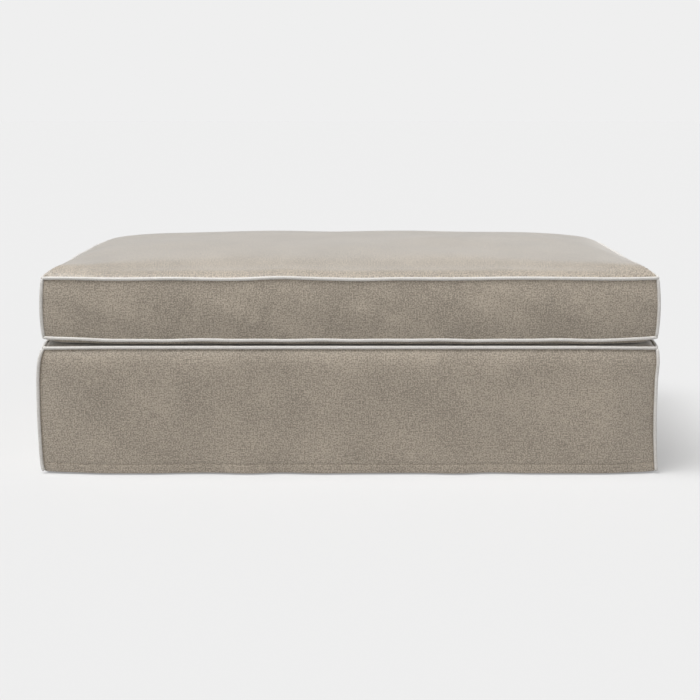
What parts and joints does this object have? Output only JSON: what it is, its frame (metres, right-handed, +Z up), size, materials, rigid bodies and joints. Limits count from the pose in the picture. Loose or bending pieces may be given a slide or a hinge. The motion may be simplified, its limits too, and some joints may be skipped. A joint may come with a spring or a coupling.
{
  "type": "ottoman coffee table",
  "caption": "Rectangular slipcovered ottoman with a loose, piped and crowned box cushion on a padded wooden base whose fitted skirt falls to the floor.",
  "frame": {"origin": "on the floor, under the middle of the ottoman", "axes": "+X to the right along the long side, +Y from the front to the back (the side with the cushion's zip), +Z up"},
  "size_m": [1.2964, 0.7864, 0.4573],
  "materials": {
    "cover_cloth": "matte",
    "piping_cloth": "matte",
    "foam": "matte",
    "wadding": "matte",
    "webbing": "matte",
    "dust_cloth": "matte",
    "frame_timber": "matte",
    "leg_timber": "satin",
    "glide_plastic": "matte",
    "zinc_steel": "satin",
    "zip_tape": "matte",
    "zip_plastic": "satin",
    "zip_metal": "satin"
  },
  "bodies": {
    "base": {"front_rail": "frame_timber", "back_rail": "frame_timber", "left_rail": "frame_timber", "right_rail": "frame_timber", "centre_stretcher": "frame_timber", "corner_block_front_left": "frame_timber", "corner_block_front_right": "frame_timber", "corner_block_back_right": "frame_timber", "corner_block_back_left": "frame_timber", "leg_front_left": "leg_timber", "leg_front_right": "leg_timber", "leg_back_right": "leg_timber", "leg_back_left": "leg_timber", "glides": "glide_plastic", "leg_bolts": "zinc_steel", "cross_webbing_1": "webbing", "cross_webbing_2": "webbing", "cross_webbing_3": "webbing", "cross_webbing_4": "webbing", "cross_webbing_5": "webbing", "cross_webbing_6": "webbing", "cross_webbing_7": "webbing", "long_webbing_1": "webbing", "long_webbing_2": "webbing", "long_webbing_3": "webbing", "deck_padding": "wadding", "side_wadding": "wadding", "dust_cover": "dust_cloth", "deck_panel": "cover_cloth", "skirt_front": "cover_cloth", "skirt_right": "cover_cloth", "skirt_back": "cover_cloth", "skirt_left": "cover_cloth", "deck_piping": "piping_cloth", "skirt_corner_piping_front_left": "piping_cloth", "skirt_corner_piping_front_right": "piping_cloth", "skirt_corner_piping_back_right": "piping_cloth", "skirt_corner_piping_back_left": "piping_cloth"},
    "cushion": {"cushion_top_panel": "cover_cloth", "cushion_bottom_panel": "cover_cloth", "boxing_front": "cover_cloth", "boxing_right": "cover_cloth", "boxing_back": "cover_cloth", "boxing_left": "cover_cloth", "cushion_top_piping": "piping_cloth", "cushion_bottom_piping": "piping_cloth", "cushion_corner_piping_front_left": "piping_cloth", "cushion_corner_piping_front_right": "piping_cloth", "cushion_corner_piping_back_right": "piping_cloth", "cushion_corner_piping_back_left": "piping_cloth", "foam_core": "foam", "fibre_wrap_top": "wadding", "fibre_wrap_bottom": "wadding", "zip_tape": "zip_tape", "zip_rows": "zip_plastic"},
    "zip_slider": {"zip_slider": "zip_metal"},
    "zip_pull": {"zip_pull": "zip_metal"}
  },
  "joints": [
    {"name": "cushion_lift", "type": "slide", "parent": "base", "child": "cushion", "axis": [0, 0, 1], "range_m": [0, 0.25]},
    {"name": "zip_slide", "type": "slide", "parent": "cushion", "child": "zip_slider", "axis": [-1, 0, 0], "range_m": [0, 0.98]},
    {"name": "zip_pull_swing", "type": "hinge", "parent": "zip_slider", "child": "zip_pull", "pos_m": [0.491, 0.38912, 0.3428], "axis": [0, 0, -1], "range_deg": [0, 165]}
  ]
}
